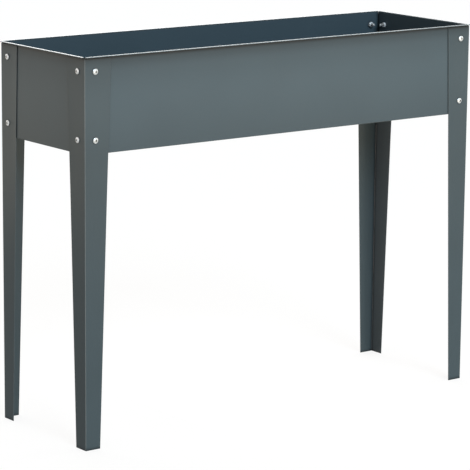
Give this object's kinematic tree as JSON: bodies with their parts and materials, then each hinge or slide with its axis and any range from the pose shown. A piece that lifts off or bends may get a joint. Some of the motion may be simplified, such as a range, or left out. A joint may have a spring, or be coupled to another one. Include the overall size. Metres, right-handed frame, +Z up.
{
  "type": "raised planter on legs",
  "caption": "Raised rectangular planter: an open folded sheet-steel box with a hemmed rim, bolted to tapered angle legs.",
  "frame": {"origin": "on the ground, under the middle of the box", "axes": "+X along the length of the box to the right, +Y towards the back, +Z up"},
  "size_m": [1.018, 0.318, 0.8],
  "materials": {
    "coated_sheet": "satin anthracite powder coat on folded steel sheet",
    "coated_leg": "satin anthracite powder coat on folded steel sheet",
    "zinc_screw": "bright zinc plate",
    "zinc_nut": "bright zinc plate"
  },
  "bodies": {
    "root": {"front_panel": "coated_sheet", "back_panel": "coated_sheet", "left_panel": "coated_sheet", "right_panel": "coated_sheet", "floor_tray": "coated_sheet", "leg_front_left": "coated_leg", "leg_front_right": "coated_leg", "leg_back_left": "coated_leg", "leg_back_right": "coated_leg", "screws_front_left": "zinc_screw", "screws_front_right": "zinc_screw", "screws_back_left": "zinc_screw", "screws_back_right": "zinc_screw", "nuts_front_left": "zinc_nut", "nuts_front_right": "zinc_nut", "nuts_back_left": "zinc_nut", "nuts_back_right": "zinc_nut"}
  },
  "joints": []
}
